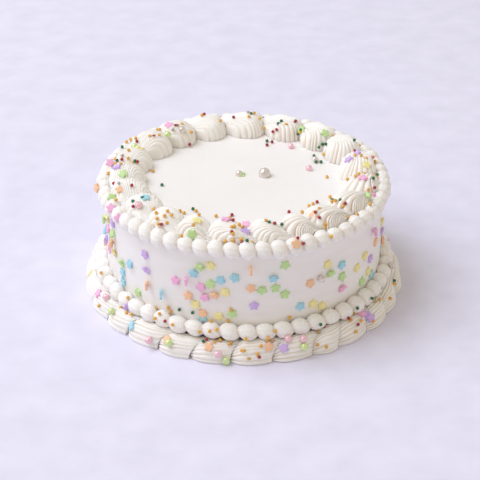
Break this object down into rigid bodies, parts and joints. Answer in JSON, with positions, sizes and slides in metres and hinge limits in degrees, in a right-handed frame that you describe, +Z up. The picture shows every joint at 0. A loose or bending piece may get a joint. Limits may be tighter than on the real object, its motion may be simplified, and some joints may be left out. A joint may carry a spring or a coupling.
{
  "type": "iced cake",
  "caption": "Round celebration cake iced in white cream, with piped shell and bead borders at the top edge and the foot, and pastel sugar stars and pearls",
  "frame": {"origin": "middle of the cake's foot, on the surface that it stands on", "axes": "+Z up; -Y is the side that faces the camera in the picture; +X is to the right there"},
  "size_m": [0.2104, 0.2102, 0.0841],
  "materials": {
    "cream": "whipped cream, matte, warm white"
  },
  "bodies": {
    "root": {"cake_body": "cream", "top_shell_01": "cream", "top_shell_02": "cream", "top_shell_03": "cream", "top_shell_04": "cream", "top_shell_05": "cream", "top_shell_06": "cream", "top_shell_07": "cream", "top_shell_08": "cream", "top_shell_09": "cream", "top_shell_10": "cream", "top_shell_11": "cream", "top_shell_12": "cream", "top_shell_13": "cream", "top_shell_14": "cream", "top_shell_15": "cream", "top_shell_16": "cream", "top_shell_17": "cream", "top_shell_18": "cream", "top_shell_19": "cream", "top_shell_20": "cream", "base_shell_01": "cream", "base_shell_02": "cream", "base_shell_03": "cream", "base_shell_04": "cream", "base_shell_05": "cream", "base_shell_06": "cream", "base_shell_07": "cream", "base_shell_08": "cream", "base_shell_09": "cream", "base_shell_10": "cream", "base_shell_11": "cream", "base_shell_12": "cream", "base_shell_13": "cream", "base_shell_14": "cream", "base_shell_15": "cream", "base_shell_16": "cream", "base_shell_17": "cream", "base_shell_18": "cream", "base_shell_19": "cream", "base_shell_20": "cream", "base_shell_21": "cream", "base_shell_22": "cream", "base_shell_23": "cream", "base_shell_24": "cream", "base_shell_25": "cream", "base_shell_26": "cream", "base_shell_27": "cream", "top_bead_border": "cream", "base_bead_border": "cream"}
  },
  "joints": []
}
